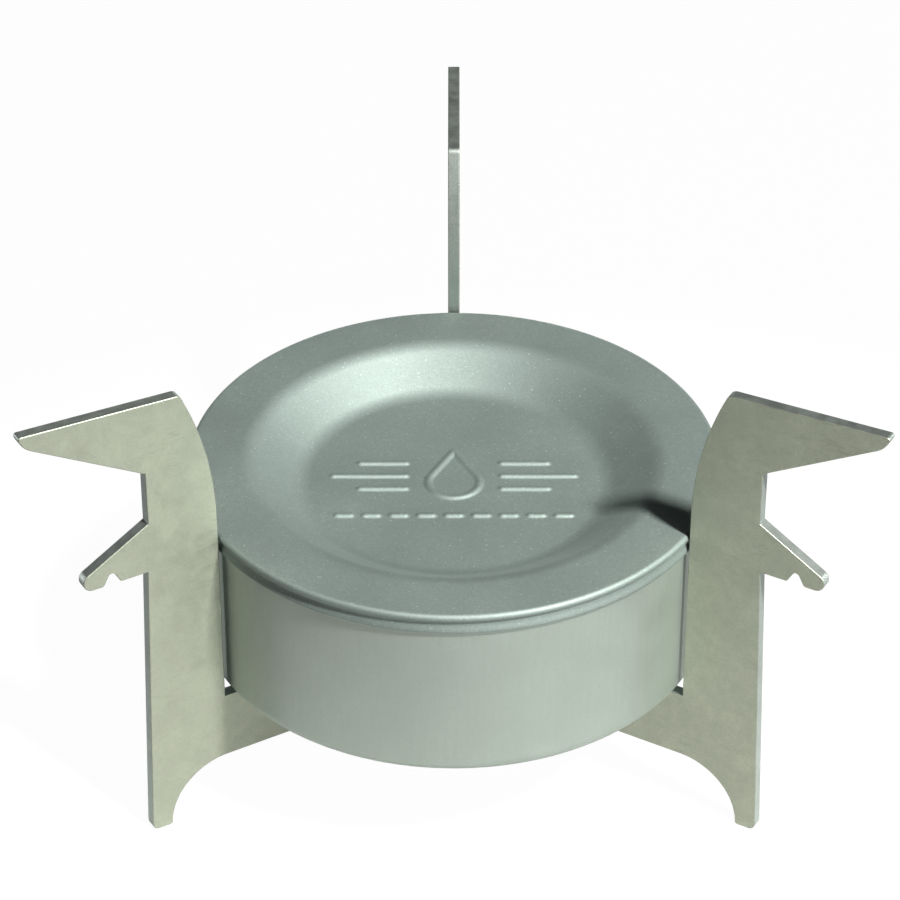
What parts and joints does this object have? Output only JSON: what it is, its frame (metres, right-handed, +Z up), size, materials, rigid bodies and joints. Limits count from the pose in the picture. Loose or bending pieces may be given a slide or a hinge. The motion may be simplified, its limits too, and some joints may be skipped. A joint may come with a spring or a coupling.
{
  "type": "folding spirit burner",
  "caption": "Round lidded burner cup for liquid fuel or fuel tablets, standing in a folding stand of flat legs that also carry the pot.",
  "frame": {"origin": "on the ground below the hinge pin, at the centre of the circle through the three feet", "axes": "+Z up along the hinge pin and the cup's axis, +Y towards the rear leg, +X to the right of someone who looks along +Y"},
  "size_m": [0.107, 0.0963, 0.0687],
  "materials": {
    "leg_plate": "tumbled titanium plate, satin",
    "hinge_metal": "turned titanium, satin",
    "cup_metal": "bead-blasted titanium, matt",
    "lid_metal": "bead-blasted titanium, matt",
    "liner_metal": "plain titanium sheet, satin",
    "spring_wire": "drawn spring wire",
    "felt": "black carbon felt"
  },
  "bodies": {
    "stand": {"leg_rear": "leg_plate", "barrel_rear": "hinge_metal", "hinge_pin": "hinge_metal", "hinge_washer": "hinge_metal"},
    "left_leg": {"leg_left": "leg_plate", "barrel_left": "hinge_metal"},
    "right_leg": {"leg_right": "leg_plate", "barrel_right": "hinge_metal"},
    "cup": {"burner_cup": "cup_metal", "wick_floor_pad": "felt", "wick_wall_ring": "felt", "wick_liner": "liner_metal", "snap_ring": "spring_wire"},
    "lid": {"lid": "lid_metal"}
  },
  "joints": [
    {"name": "left_leg_fold", "type": "hinge", "parent": "stand", "child": "left_leg", "pos_m": [0, 0, 0.015], "axis": [0, 0, 1], "range_deg": [-108, 0]},
    {"name": "right_leg_fold", "type": "hinge", "parent": "stand", "child": "right_leg", "pos_m": [0, 0, 0.011], "axis": [0, 0, 1], "range_deg": [0, 108]},
    {"name": "cup_lift", "type": "slide", "parent": "stand", "child": "cup", "axis": [0, 0, 1], "range_m": [0, 0.06]},
    {"name": "lid_lift", "type": "slide", "parent": "cup", "child": "lid", "axis": [0, 0, 1], "range_m": [0, 0.04]}
  ]
}
